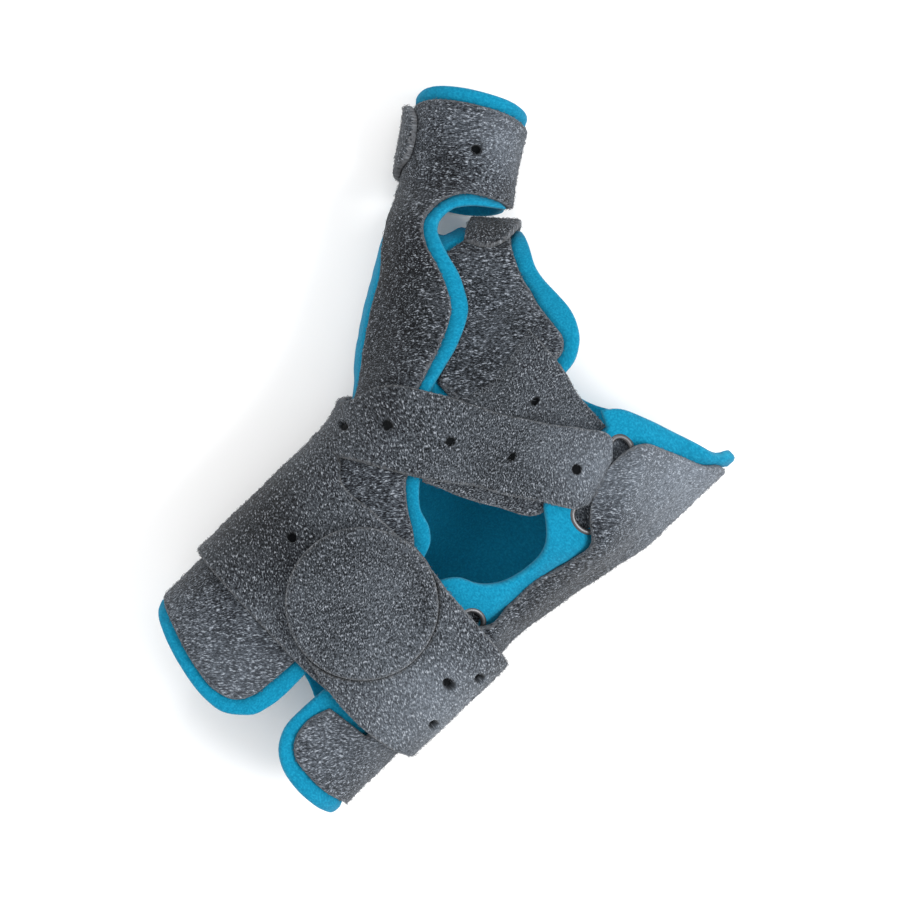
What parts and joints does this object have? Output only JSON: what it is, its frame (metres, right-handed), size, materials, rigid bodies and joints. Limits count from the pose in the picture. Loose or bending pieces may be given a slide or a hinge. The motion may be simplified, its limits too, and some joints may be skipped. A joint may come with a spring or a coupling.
{
  "type": "thumb spica splint",
  "caption": "Felt-lined cloth wrist splint with a thumb cuff, an open back-hand window and fastened straps through oval slots.",
  "frame": {"origin": "centre of the bounding box, at the underside that it rests on", "axes": "+Y from the forearm end towards the fingers, +Z out of the back of the hand, +X towards the little-finger side"},
  "size_m": [0.123, 0.1588, 0.053],
  "materials": {
    "felt_blue": "matte",
    "loop_grey": "matte",
    "strap_grey": "matte",
    "ring_metal": "satin"
  },
  "bodies": {
    "root": {"body_lining": "felt_blue", "body_cover": "loop_grey", "thumb_lining": "felt_blue", "thumb_cover": "loop_grey", "web_lining": "felt_blue", "web_cover": "loop_grey", "thumb_tab": "strap_grey", "web_tab": "strap_grey", "wrist_strap": "strap_grey", "wrist_strap_end": "strap_grey", "hand_strap": "strap_grey", "web_strap": "strap_grey", "hand_slot_ring": "ring_metal", "wrist_slot_ring": "ring_metal"}
  },
  "joints": []
}
